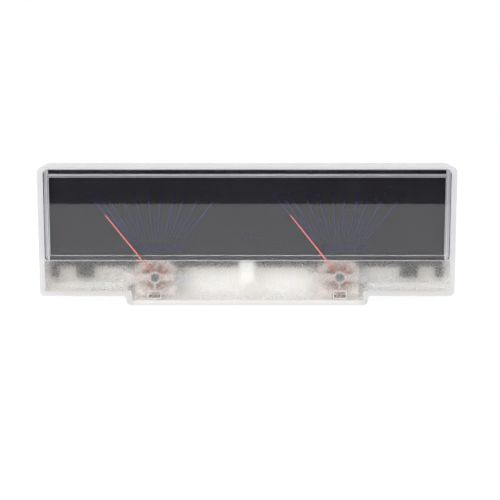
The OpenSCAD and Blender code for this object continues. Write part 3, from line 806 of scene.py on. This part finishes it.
@dataclass
class Housing:
    """The clear cover and the cream case behind it.

    Attributes:
        measures: The shared places.
        finishes: The finishes.
        edge: Rounding of the cover's edges.
        case_edge: Rounding of the case's edges.
        reach: How far from a plane a face may lie and still belong to it.
        wall: Thickness of the cover's walls.
        wing_z: Height of the wings' lower face.
        foot_z: Below this height only the tab's straight part lies.
        rim: Width of the seat face's rims.
        soft_rim: Width of a rim's creamy inner band.
        shade_band_near: First edge of the thin band of painted shade across the hollow's top, from the seat.
        shade_band_far: Its second edge.
        top_band: Heights above the middle between which the hollow's top lies.
        top_depth: How far behind the seat the hollow's top is tinted grey as painted shade.
        top_drop: How far below the cover's top the hollow's top is looked for.
        clear_strip: Height of the clear strip below the window.
        light_strip: Height of the strip below the window that isn't frosted.
        slot_size: Half width and half height of the milky edge round a slot.
        slot_drop: How far below its pivot a slot lies.
    """

    measures: Measures
    finishes: Finishes
    edge: float = 0.2 * MM
    case_edge: float = 0.2 * MM
    reach: float = 0.05 * MM
    wall: float = 1.5 * MM
    wing_z: float = 3.1 * MM
    foot_z: float = 1.95 * MM
    rim: float = 1.7 * MM
    soft_rim: float = 0.8 * MM
    shade_band_near: float = -0.2 * MM
    shade_band_far: float = 0.25 * MM
    top_band: tuple[float, float] = (15 * MM, 21 * MM)
    top_depth: float = 2 * MM
    top_drop: float = 3.5 * MM
    clear_strip: float = 0.25 * MM
    light_strip: float = 0.55 * MM
    slot_size: tuple[float, float] = (2.25 * MM, 1.4 * MM)
    slot_drop: float = 5.3 * MM
    middle: float = field(init=False)
    side: float = field(init=False)
    tab: float = field(init=False)
    floor: float = field(init=False)
    # The two edges of the thin band of painted shade on the hollow's top.
    shade_band: tuple[float, float] = field(init=False)
    slots: list[tuple[float, float]] = field(init=False)

    def __post_init__(self) -> None:
        """Works out where the rims, the step and the slots lie on the cover."""
        low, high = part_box("front_cover")
        corners = frame["nodes"]["front_cover"].data.vertices
        foot = max(v.co.x for v in corners if v.co.z < self.foot_z)
        front = self.measures.seat_y
        self.middle = (low.z + high.z) / 2
        self.side = high.x - self.rim
        self.tab = foot - self.rim
        self.floor = self.wing_z + self.rim
        self.shade_band = (front + self.shade_band_near, front + self.shade_band_far)
        self.slots = [(x, z - self.slot_drop) for x, z in self.measures.pivots.values()]

    def build(self) -> None:
        """Rounds the edges of both mouldings and frosts the cover's front."""
        cover = softened("front_cover", "clear_front", self.edge, self.finishes.of("front_cover"))
        self.frost(cover.data)
        softened("rear_case", "cream_back", self.case_edge, self.finishes.of("rear_case"))

    def frost(self, mesh: bpy.types.Mesh) -> None:
        """Gives each part of the cover its own surface.

        Args:
            mesh: The cover's mesh.
        """
        for finish in self.finishes.cover:
            mesh.materials.append(finish)
        bm = bmesh.new()
        bm.from_mesh(mesh)
        self.score_seat(bm)
        self.score_walls(bm)
        self.score_top(bm)
        for face in bm.faces:
            face.material_index = self.surface_of(face)
        bm.to_mesh(mesh)
        bm.free()

    def score_seat(self, bm: bmesh.types.BMesh) -> None:
        """Scores the seat face along its rims, below the window and round the slots.

        Args:
            bm: The cover's mesh.
        """
        front, window = self.measures.seat_y, self.measures.window_z
        half_w, half_h = self.slot_size
        spans = (self.side, self.tab, self.side + self.soft_rim, self.tab + self.soft_rim)
        uprights = [x * way for x in spans for way in (-1, 1)]
        levels = [self.rim, self.floor, window, window - self.clear_strip, window - self.light_strip]
        levels += [self.rim - self.soft_rim, self.floor - self.soft_rim]
        for x, z in self.slots:
            uprights += [x - half_w, x + half_w]
            levels += [z - half_h, z + half_h]
        cuts = [((x, 0, 0), (1, 0, 0)) for x in uprights] + [((0, 0, z), (0, 0, 1)) for z in levels]
        for spot, normal in cuts:
            seat = [
                f for f in bm.faces
                if f.normal.y < -SQUARE_ON and abs(f.calc_center_median().y - front) < self.reach
            ]
            score(bm, seat, spot, normal)

    def score_walls(self, bm: bmesh.types.BMesh) -> None:
        """Scores the inner faces of the side walls level with the strip below the window.

        Args:
            bm: The cover's mesh.
        """
        inside = self.side + self.rim - self.wall
        walls = [
            f for f in bm.faces
            if abs(f.normal.x) > SQUARE_ON and abs(abs(f.calc_center_median().x) - inside) < self.reach
        ]
        score(bm, walls, (0, 0, self.measures.window_z - self.light_strip), (0, 0, 1))

    def score_top(self, bm: bmesh.types.BMesh) -> None:
        """Scores the window hollow's top across, at both edges of a thin band of painted shade.

        Args:
            bm: The cover's mesh.
        """
        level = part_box("front_cover")[1].z - self.top_drop
        behind = self.measures.seat_y + self.wall
        for y in self.shade_band:
            top = []
            for face in bm.faces:
                place = face.calc_center_median()
                if face.normal.z < -FACING and place.z > level and place.y < behind:
                    top.append(face)
            score(bm, top, (0, y, 0), (0, 1, 0))

    def surface_of(self, face: bmesh.types.BMFace) -> Surface:
        """The surface of a face of the cover.

        Args:
            face: The face.

        Returns:
            Its surface.
        """
        place, normal = face.calc_center_median(), face.normal
        front, window = self.measures.seat_y, self.measures.window_z
        low, high = self.top_band
        in_top = self.middle + low < place.z < self.middle + high
        # The hollow's top near the seat is tinted grey as painted shade.
        if in_top and normal.z < -FACING and place.y < front + self.top_depth:
            # A thin band of painted shade runs across this grey top.
            return Surface.SHADED if self.shade_band[0] < place.y < self.shade_band[1] else Surface.DULL
        if place.y < front - self.reach:
            return Surface.CLEAR
        if self.in_slot(place) and normal.y < FACING:
            return Surface.SLOT_EDGE
        if place.y > front + self.wall and self.faces_inside(place, normal):
            return Surface.MILKY
        under_window = window - self.light_strip < place.z < window
        if normal.y < -SQUARE_ON and abs(place.x) < self.side and under_window:
            return Surface.SATIN if place.z < window - self.clear_strip else Surface.CLEAR
        if place.y < front + self.edge and normal.y < -LEANING:
            # The top front edge's rounding is tinted grey as a painted shadow line.
            return Surface.DULL if normal.z > LEANING else self.seat_surface(place)
        return self.side_surface(place, normal)

    def seat_surface(self, place: Vector) -> Surface:
        """The surface at a place on the seat face.

        Args:
            place: The place.

        Returns:
            Frosted over the hollow, creamy on a rim's inner band, and satin or lip outside it.
        """
        if not self.over_wall(place, 0.0):
            return Surface.FROSTED
        if not self.over_wall(place, self.soft_rim):
            return Surface.CREAM
        return Surface.LIP if place.z < self.rim else Surface.SATIN

    def side_surface(self, place: Vector, normal: Vector) -> Surface:
        """The surface of a face behind the seat.

        Args:
            place: The face's middle.
            normal: Its direction.

        Returns:
            Satin on the outer top, hazy on the other walls, and clear on what faces back.
        """
        outward = Vector((math.copysign(1.0, place.x), 0.0, math.copysign(1.0, place.z - self.middle)))
        behind = place.y > self.measures.seat_y + self.wall
        if abs(normal.y) >= FACING or not (behind or normal.dot(outward) > LEANING):
            return Surface.CLEAR
        return Surface.SATIN if normal.z > LEANING and place.z > self.middle else Surface.HAZY

    def faces_inside(self, place: Vector, normal: Vector) -> bool:
        """Whether a face is on the inner floor, or low on the inner side of a side wall.

        Args:
            place: The face's middle.
            normal: Its direction.

        Returns:
            True where the moulding is milky.
        """
        on_floor = normal.z > FACING and place.z < self.floor
        on_side = abs(normal.x) > FACING and normal.x * place.x < 0
        return on_floor or (on_side and place.z < self.measures.window_z)

    def in_slot(self, place: Vector) -> bool:
        """Whether a place on the cover lies round one of the two adjuster slots.

        Args:
            place: The place.

        Returns:
            True on a slot's walls and on their rounded edges.
        """
        half_w, half_h = self.slot_size
        shallow = place.y < self.measures.seat_y + self.wall + self.edge
        near = any(abs(place.x - x) < half_w and abs(place.z - z) < half_h for x, z in self.slots)
        return shallow and near

    def over_wall(self, place: Vector, inset: float) -> bool:
        """Whether a place on the seat face lies over a wall of the cover.

        Args:
            place: The place.
            inset: How much further out the rim starts.

        Returns:
            True over the rims, and beside and above the window.
        """
        low_wing = place.z < self.floor - inset and abs(place.x) > self.tab + inset
        outer = abs(place.x) > self.side + inset or place.z < self.rim - inset
        return place.z > self.measures.window_z or outer or low_wing


@dataclass
class Dial:
    """The black dial plate with its printed scales.

    Attributes:
        measures: The shared places.
        finishes: The finishes.
        marks: Degrees from the vertical and label of each main ray, from left to right.
        ray_low: Height of the rays' lower ends above the pivot.
        ray_high: Height of the main rays' upper ends above the pivot.
        ray_half_angle: Half of a main ray's width in degrees.
        short_reach: Length of a short ray as a share of a main one.
        short_width: Width of a short ray as a share of a main one.
        number_z: Height of the numbers above the pivot.
        number_size: Height of the numbers.
        unit_size: Height of the unit mark.
        unit_z: Height of the unit mark's middle.
        letter_share: Height of a capital as a share of the type's size.
        bar_low: Height of the blocks' lower edges above the pivot.
        bar_high: Height of the blocks' upper edges above the pivot.
        bar_left: The row's left end, from the pivot.
        bar_right: The row's right end, from the pivot.
        bar_blocks: Number of blocks in the row.
        bar_gap: Gap at each side of a block, as a share of the pitch.
        proud: How far the print stands in front of the plate.
        coat: Gap under the print and the coat, as a share of that.
    """

    measures: Measures
    finishes: Finishes
    marks: tuple[tuple[float, str], ...] = (
        (-39.0, "20"), (-35.6, "10"), (-31.4, "7"), (-22.7, "5"), (-14.5, "3"), (-4.8, "2"),
        (3.8, "1"), (13.1, "0"), (20.5, "1"), (29.4, "2"), (38.0, "3"),
    )
    ray_low: float = 11.1 * MM
    ray_high: float = 24.4 * MM
    ray_half_angle: float = 0.3
    short_reach: float = 0.6
    short_width: float = 0.8
    number_z: float = 26.4 * MM
    number_size: float = 1.4 * MM
    unit_size: float = 3.0 * MM
    unit_z: float = 21.3 * MM
    letter_share: float = 0.7
    bar_low: float = 8.0 * MM
    bar_high: float = 10.1 * MM
    bar_left: float = -5.9 * MM
    bar_right: float = 9.1 * MM
    bar_blocks: int = 12
    bar_gap: float = 0.12
    proud: float = 0.02 * MM
    coat: float = 0.1

    def build(self) -> None:
        """Dresses the plate and prints both scales and the unit mark."""
        dress("dial_plate", self.finishes)
        self.paint_back()
        for side in Side:
            self.print_rays(side)
            self.print_numbers(side)
            self.print_bar(side)
        self.print_text("unit_mark", "VU", 0.0, self.unit_z, self.unit_size)

    def paint_back(self) -> None:
        """Lays a thin white coat on the plate's back, over its flat face."""
        bm = bmesh.new()
        bm.from_mesh(frame["nodes"]["dial_plate"].data)
        back = self.measures.plate_back
        others = [
            f for f in bm.faces
            if f.normal.y < SQUARE_ON or abs(f.calc_center_median().y - back) > self.proud
        ]
        bmesh.ops.delete(bm, geom=others, context="FACES")
        merge_flats(bm)
        bmesh.ops.translate(bm, verts=bm.verts, vec=(0.0, self.proud * self.coat, 0.0))
        self.finish_print("dial_back_coat", bm, self.finishes.white_back)

    def print_y(self) -> float:
        """Depth of the print's face, just in front of the plate."""
        return self.measures.plate_front - self.proud

    def finish_print(self, name: str, bm: bmesh.types.BMesh, material: bpy.types.Material) -> None:
        """Turns flat print shapes into a thin piece on the housing.

        Args:
            name: The piece's name.
            bm: Flat faces at the print's front.
            material: The ink.
        """
        faces = list(bm.faces)
        extruded = bmesh.ops.extrude_face_region(bm, geom=faces)
        moved = [v for v in extruded["geom"] if isinstance(v, bmesh.types.BMVert)]
        bmesh.ops.translate(bm, verts=moved, vec=(0.0, self.proud * (1.0 - self.coat), 0.0))
        bmesh.ops.recalc_face_normals(bm, faces=bm.faces)
        piece = add_object(name, mesh_from(bm, name), material)
        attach(piece, "housing")
        LOG.info("printed %s", name)

    def ray_corners(self, side: Side, angle: float, top: float, half: float) -> list[Vector]:
        """The corners of one tapered ray, cut off level at both ends.

        Args:
            side: Which scale.
            angle: Degrees from the vertical.
            top: Height of its upper end above the pivot.
            half: Half of its width in degrees.

        Returns:
            Four corners in the row frame.
        """
        x, z = self.measures.pivots[side]
        low = self.ray_low
        spots = ((angle - half, low), (angle + half, low), (angle + half, top), (angle - half, top))
        y = self.print_y()
        return [Vector((x + h * math.tan(math.radians(a)), y, z + h)) for a, h in spots]

    def print_rays(self, side: Side) -> None:
        """Prints the fan of main rays, and the shorter rays between them."""
        bm = bmesh.new()
        angles = [angle for angle, _ in self.marks]
        rays = [(angle, self.ray_high, self.ray_half_angle) for angle in angles]
        high = self.ray_low + (self.ray_high - self.ray_low) * self.short_reach
        for first, second in zip(angles, angles[1:]):
            rays.append(((first + second) / 2, high, self.ray_half_angle * self.short_width))
        for angle, top, half in rays:
            corners = self.ray_corners(side, angle, top, half)
            bm.faces.new([bm.verts.new(corner) for corner in corners])
        self.finish_print(f"{side.value}_scale_rays", bm, self.finishes.ink)

    def print_bar(self, side: Side) -> None:
        """Prints the faint row of blocks below a fan."""
        bm = bmesh.new()
        x, z = self.measures.pivots[side]
        pitch = (self.bar_right - self.bar_left) / self.bar_blocks
        low, high = z + self.bar_low, z + self.bar_high
        for i in range(self.bar_blocks):
            left = x + self.bar_left + pitch * (i + self.bar_gap)
            right = x + self.bar_left + pitch * (i + 1 - self.bar_gap)
            spots = ((left, low), (right, low), (right, high), (left, high))
            bm.faces.new([bm.verts.new((px, self.print_y(), pz)) for px, pz in spots])
        self.finish_print(f"{side.value}_scale_blocks", bm, self.finishes.faint_ink)

    def print_numbers(self, side: Side) -> None:
        """Prints the numbers above the main rays."""
        x, z = self.measures.pivots[side]
        for index, (angle, label) in enumerate(self.marks):
            reach = x + self.number_z * math.tan(math.radians(angle))
            name = f"{side.value}_number_{index}"
            self.print_text(name, label, reach, z + self.number_z, self.number_size)

    def print_text(self, name: str, words: str, x: float, z: float, size: float) -> None:
        """Prints a number or a unit, centred on a place on the dial.

        Args:
            name: The piece's name.
            words: What is printed.
            x: X of its middle.
            z: Height of its middle.
            size: Height of the letters.
        """
        curve = bpy.data.curves.new(name, "FONT")
        curve.body = words
        curve.size = size / self.letter_share
        curve.align_x = "CENTER"
        curve.align_y = "CENTER"
        curve.resolution_u = 3
        holder = bpy.data.objects.new(name, curve)
        bpy.context.scene.collection.objects.link(holder)
        bpy.context.view_layer.update()
        flat = bpy.data.meshes.new_from_object(holder)
        bpy.data.objects.remove(holder)
        bm = bmesh.new()
        bm.from_mesh(flat)
        bpy.data.meshes.remove(flat)
        turn = Matrix.Translation((x, self.print_y(), z)) @ Matrix.Rotation(math.pi / 2, 4, "X")
        bmesh.ops.transform(bm, matrix=turn, verts=bm.verts)
        self.finish_print(name, bm, self.finishes.faint_ink)


@dataclass
class Backlight:
    """The milky sheet, the board, its LEDs, screws and terminals.

    Attributes:
        finishes: The finishes.
        edge: Rounding of the edges.
    """

    finishes: Finishes
    edge: float = 0.12 * MM

    SHEETS = ("light_diffuser", "backlight_board", "backlight_leds")
    FIXINGS = ("board_screws", "lamp_terminals", "movement_screws")

    def build(self) -> None:
        """Dresses the backlight's pieces."""
        for node in self.SHEETS:
            softened(node, f"{node}_piece", self.edge, self.finishes.of(node))
        for node in self.FIXINGS:
            softened(node, f"{node}_set", self.edge, self.finishes.of(node))


@dataclass
class Movement:
    """One moving-coil movement with its pointer and its zero adjuster.

    Attributes:
        side: Which movement.
        measures: The shared places.
        finishes: The finishes.
        edge: Rounding of the pieces' edges.
        blade_edge: Rounding of the pointer's edges.
        turns: Turns of wire that show on the winding.
        rest_angle: Turn of the coil at rest, in degrees.
        ridge: Height of one turn of wire.
        ridge_share: Most that a ridge takes of the winding's thickness.
        slack: Least gap between the winding's outer and inner corners.
        clearance: Gap between the winding's inner face and the former.
        corner_steps: Steps round each corner of the winding.
        wire_crease: Edges of the winding above this angle stay sharp, in degrees.
    """

    side: Side
    measures: Measures
    finishes: Finishes
    edge: float = 0.08 * MM
    blade_edge: float = 0.06 * MM
    turns: int = 14
    rest_angle: float = 38.5
    ridge: float = 0.05 * MM
    ridge_share: float = 0.3
    slack: float = 0.05 * MM
    clearance: float = 0.01 * MM
    corner_steps: int = 4
    wire_crease: float = 60.0

    KEPT = ("front_hairspring", "rear_hairspring", "core_spacers")
    ROUNDED = (
        "movement_frame", "magnet_core", "return_ring", "front_bridge", "bridge_pillars",
        "front_jewel_screw", "rear_bridge", "rear_jewel_screw", "coil_former", "arbor",
        "counterweights", "zero_adjuster", "signal_terminals",
    )

    def node(self, part: str) -> str:
        """The name of this movement's CAD node."""
        return f"{self.side.value}_{part}"

    def build(self) -> None:
        """Dresses the movement's pieces and winds its coil."""
        for part in self.KEPT:
            dress(self.node(part), self.finishes)
        for part in self.ROUNDED:
            name = self.node(part)
            softened(name, f"{name}_piece", self.edge, self.finish_of(part))
        pointer = self.node("pointer")
        softened(pointer, f"{pointer}_blade", self.blade_edge, self.finishes.of(pointer))
        self.wind_coil()

    def finish_of(self, part: str) -> bpy.types.Material:
        """The finish of a piece: its slot's own, but for the screws, weights and adjuster."""
        special = {
            "front_jewel_screw": self.finishes.blackened,
            "rear_jewel_screw": self.finishes.blackened,
            "counterweights": self.finishes.dulled,
            "zero_adjuster": self.finishes.pale_metal,
        }
        return special.get(part) or self.finishes.of(self.node(part))

    def wind_coil(self) -> None:
        """Winds the coil: a ridged band round the former, one ridge for each turn."""
        name = self.node("coil_winding")
        corners = self.unturned()
        low = Vector([min(c[i] for c in corners) for i in range(3)])
        high = Vector([max(c[i] for c in corners) for i in range(3)])
        depth = high.x - max(abs(c.x) for c in corners if abs(c.x) < high.x - self.slack)
        profile = self.ridged_profile((high.z - low.z) / 2, depth)
        bm = bmesh.new()
        rings = []
        for point, outward in self.band_path(low, high, depth):
            rings.append([bm.verts.new(self.turned(point + outward * d, w)) for d, w in profile])
        count = len(profile)
        for i, here in enumerate(rings):
            there = rings[(i + 1) % len(rings)]
            for j in range(count):
                k = (j + 1) % count
                bm.faces.new((here[j], here[k], there[k], there[j]))
        bmesh.ops.recalc_face_normals(bm, faces=bm.faces)
        band = mesh_from(bm, name, self.wire_crease)
        stand_in(add_object(f"{name}_turns", band, self.finishes.of(name)), name)

    def unturned(self) -> list[Vector]:
        """The winding's corners in the coil's own frame, with the pivot as origin."""
        x, z = self.measures.pivots[self.side]
        turn = Matrix.Rotation(math.radians(self.rest_angle), 3, "Y")
        mesh = frame["nodes"][self.node("coil_winding")].data
        return [turn @ (v.co - Vector((x, 0.0, z))) for v in mesh.vertices]

    def band_path(self, low: Vector, high: Vector, depth: float) -> list[tuple[Vector, Vector]]:
        """Points round the winding's inner face, each with its outward direction.

        Args:
            low: Lowest corner of the winding.
            high: Highest corner of the winding.
            depth: The winding's thickness.

        Returns:
            Pairs of a point and a direction, in the coil's X-Y plane.
        """
        path = []
        middle = (low.y + high.y) / 2
        corners = ((high.x, high.y, 0), (low.x, high.y, 90), (low.x, low.y, 180), (high.x, low.y, 270))
        for x, y, start in corners:
            centre = Vector((x - math.copysign(depth, x), y - math.copysign(depth, y - middle), 0.0))
            for step in range(self.corner_steps + 1):
                a = math.radians(start + 90 * step / self.corner_steps)
                path.append((centre, Vector((math.cos(a), math.sin(a), 0.0))))
        return path

    def ridged_profile(self, half_w: float, depth: float) -> list[tuple[float, float]]:
        """The band's cross-section: flat inside, one round ridge a turn outside.

        Args:
            half_w: Half of the band's width.
            depth: The band's thickness.

        Returns:
            Pairs of depth and width.
        """
        ridge = min(self.ridge, depth * self.ridge_share)
        profile = [(self.clearance, half_w), (self.clearance, -half_w)]
        for turn in range(self.turns):
            for part in (0.0, 0.25, 0.5, 0.75):
                w = -half_w + 2 * half_w * (turn + part) / self.turns
                profile.append((depth - ridge + ridge * math.sin(math.pi * part), w))
        profile.append((depth - ridge, half_w))
        return profile

    def turned(self, point: Vector, width: float) -> Vector:
        """A point of the coil at rest, in the row frame.

        Args:
            point: The point in the coil's X-Y plane.
            width: Its place across the band.

        Returns:
            The point in the row frame.
        """
        x, z = self.measures.pivots[self.side]
        turn = Matrix.Rotation(math.radians(-self.rest_angle), 3, "Y")
        return turn @ Vector((point.x, point.y, width)) + Vector((x, 0.0, z))


# ---- Studio ----


def direct_rays(tree: bpy.types.NodeTree) -> bpy.types.NodeSocket:
    """Tells the rays that show a thing to the camera, straight or through glass, from the rest.

    Args:
        tree: The world's or the material's node tree.

    Returns:
        A socket that is 1 for camera, glossy and transmission rays.
    """
    path = add_node(tree, "ShaderNodeLightPath")
    seen = path.outputs["Is Camera Ray"]
    for kind in ("Is Glossy Ray", "Is Transmission Ray"):
        either = add_node(tree, "ShaderNodeMath", operation="MAXIMUM")
        tree.links.new(seen, either.inputs[0])
        tree.links.new(path.outputs[kind], either.inputs[1])
        seen = either.outputs["Value"]
    return seen


@dataclass
class Studio:
    """Floor, light and camera.

    Attributes:
        measures: The shared places.
        distance: From the camera to the point that it looks at, in metres.
        elevation: The camera's angle above the horizon, in degrees.
        focal_pixels: Focal length in pixels of the frame.
        frame_pixels: Width of the frame in pixels.
        sensor: Width of the camera's sensor in millimetres.
        aim_x: X of the point that the camera looks at.
        aim_z: Height of that point.
        dim: The surround's light on the object.
        bright: The surround's light where it is seen itself.
        floor_reach: Half of the floor's width and length.
        floor_glow: Brightness of the floor's own light where it is seen.
        floor_share: Share of that light in what is seen.
        card_width: Half of the dark card's width.
        card_near: The card's near edge in Y.
        card_far: The card's far edge in Y.
        card_z: Height of the card above the floor.
        lamp_power: Power of the lamp in watts.
        lamp_size: Width of the lamp.
        lamp_place: Where the lamp hangs.
        lamp_aim: What the lamp points at.
        stage: The objects that belong to the studio.
    """

    measures: Measures
    distance: float = 0.395
    elevation: float = 9.0
    focal_pixels: float = 1228.0
    frame_pixels: float = 500.0
    sensor: float = 36.0
    aim_x: float = 0.9 * MM
    aim_z: float = 18.2 * MM
    dim: float = 0.65
    bright: float = 1.0
    floor_reach: float = 6.0
    floor_glow: float = 1.12
    floor_share: float = 0.8
    card_width: float = 1.2
    card_near: float = -0.285
    card_far: float = -1.4
    card_z: float = 0.4 * MM
    lamp_power: float = 5.5
    lamp_size: float = 0.9
    lamp_place: tuple[float, float, float] = (-0.25, -0.95, 0.5)
    lamp_aim: tuple[float, float, float] = (0.0, 0.0, 0.02)
    stage: list[bpy.types.Object] = field(default_factory=list)

    def build(self) -> None:
        """Makes the floor, the light and the camera."""
        scene = bpy.context.scene
        scene.view_settings.view_transform = "Standard"
        scene.cycles.diffuse_bounces = 8
        scene.cycles.glossy_bounces = 12
        scene.cycles.transmission_bounces = 16
        scene.cycles.max_bounces = 24
        scene.cycles.transparent_max_bounces = 24
        self.make_world()
        self.make_floor()
        self.make_card()
        self.make_lamp()
        self.make_camera()
        LOG.info("studio ready")

    def make_world(self) -> None:
        """An even white surround."""
        world = bpy.data.worlds.new("white surround")
        bpy.context.scene.world = world
        world.use_nodes = True
        tree = world.node_tree
        background = tree.nodes["Background"]
        background.inputs["Color"].default_value = (1.0, 1.0, 1.0, 1.0)
        strength = add_node(tree, "ShaderNodeMapRange")
        strength.inputs["To Min"].default_value = self.dim
        strength.inputs["To Max"].default_value = self.bright
        tree.links.new(direct_rays(tree), strength.inputs["Value"])
        tree.links.new(strength.outputs["Result"], background.inputs["Strength"])

    def plane(self, name: str, x: float, first: float, last: float, z: float) -> bpy.types.Object:
        """A level rectangle of the stage.

        Args:
            name: Its name.
            x: Half of its width.
            first: Lowest Y of it.
            last: Highest Y of it.
            z: Its height.

        Returns:
            The object.
        """
        mesh = bpy.data.meshes.new(name)
        mesh.from_pydata([(-x, first, z), (x, first, z), (x, last, z), (-x, last, z)], [], [(0, 1, 2, 3)])
        piece = bpy.data.objects.new(name, mesh)
        bpy.context.scene.collection.objects.link(piece)
        self.stage.append(piece)
        return piece

    def matt(self, name: str, colour: Colour,
             roughness: float) -> tuple[bpy.types.Material, bpy.types.NodeTree, bpy.types.Node]:
        """Makes a matt material without reflections.

        Args:
            name: The material's name.
            colour: Its colour.
            roughness: How matt it is.

        Returns:
            The material, its node tree and its Principled shader.
        """
        material, tree, shader = new_material(name)
        shader.inputs["Base Color"].default_value = (*colour, 1.0)
        shader.inputs["Roughness"].default_value = roughness
        shader.inputs["Specular IOR Level"].default_value = 0.0
        return material, tree, shader

    def make_floor(self) -> None:
        """A plain white floor that keeps a pale shadow."""
        floor = self.plane("floor", self.floor_reach, -self.floor_reach, self.floor_reach, 0.0)
        material, tree, shader = self.matt("white floor", (0.9, 0.9, 0.9), 0.8)
        glow = add_node(tree, "ShaderNodeEmission")
        glow.inputs["Strength"].default_value = self.floor_glow
        share = add_node(tree, "ShaderNodeMath", operation="MULTIPLY")
        share.inputs[1].default_value = self.floor_share
        mix = add_node(tree, "ShaderNodeMixShader")
        link = tree.links.new
        link(direct_rays(tree), share.inputs[0])
        link(share.outputs["Value"], mix.inputs["Fac"])
        link(shader.outputs["BSDF"], mix.inputs[1])
        link(glow.outputs["Emission"], mix.inputs[2])
        link(mix.outputs["Shader"], tree.nodes["Material Output"].inputs["Surface"])
        floor.data.materials.append(material)

    def make_card(self) -> None:
        """A dark card in front, which only reflections show."""
        card = self.plane("dark_card", self.card_width, self.card_far, self.card_near, self.card_z)
        material, _, _ = self.matt("dark card", (0.03, 0.025, 0.025), 0.9)
        card.data.materials.append(material)
        card.visible_camera = False
        card.visible_diffuse = False
        card.visible_shadow = False

    def make_lamp(self) -> None:
        """One large soft lamp above and in front."""
        data = bpy.data.lights.new("soft lamp", "AREA")
        data.shape = "SQUARE"
        data.size = self.lamp_size
        data.energy = self.lamp_power
        lamp = bpy.data.objects.new("soft lamp", data)
        lamp.location = self.lamp_place
        aim = Vector(self.lamp_aim) - lamp.location
        lamp.rotation_euler = aim.to_track_quat("-Z", "Y").to_euler()
        bpy.context.scene.collection.objects.link(lamp)

    def make_camera(self) -> None:
        """The camera, in front and a little above."""
        angle = math.radians(self.elevation)
        data = bpy.data.cameras.new("camera")
        data.sensor_width = self.sensor
        data.lens = self.focal_pixels / self.frame_pixels * self.sensor
        camera = bpy.data.objects.new("camera", data)
        camera.location = (
            self.aim_x,
            self.measures.seat_y - self.distance * math.cos(angle),
            self.aim_z + self.distance * math.sin(angle),
        )
        camera.rotation_euler = (math.pi / 2 - angle, 0.0, 0.0)
        bpy.context.scene.collection.objects.link(camera)
        bpy.context.scene.camera = camera


def main() -> None:
    """Builds the whole scene round the frame."""
    logging.basicConfig(level=logging.INFO, format="%(message)s")
    measures = take_measures()
    Studio(measures).build()
    finishes = Finishes()
    Housing(measures, finishes).build()
    Dial(measures, finishes).build()
    Backlight(finishes).build()
    for side in Side:
        Movement(side, measures, finishes).build()


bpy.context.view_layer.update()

if __name__ == "__main__":
    main()
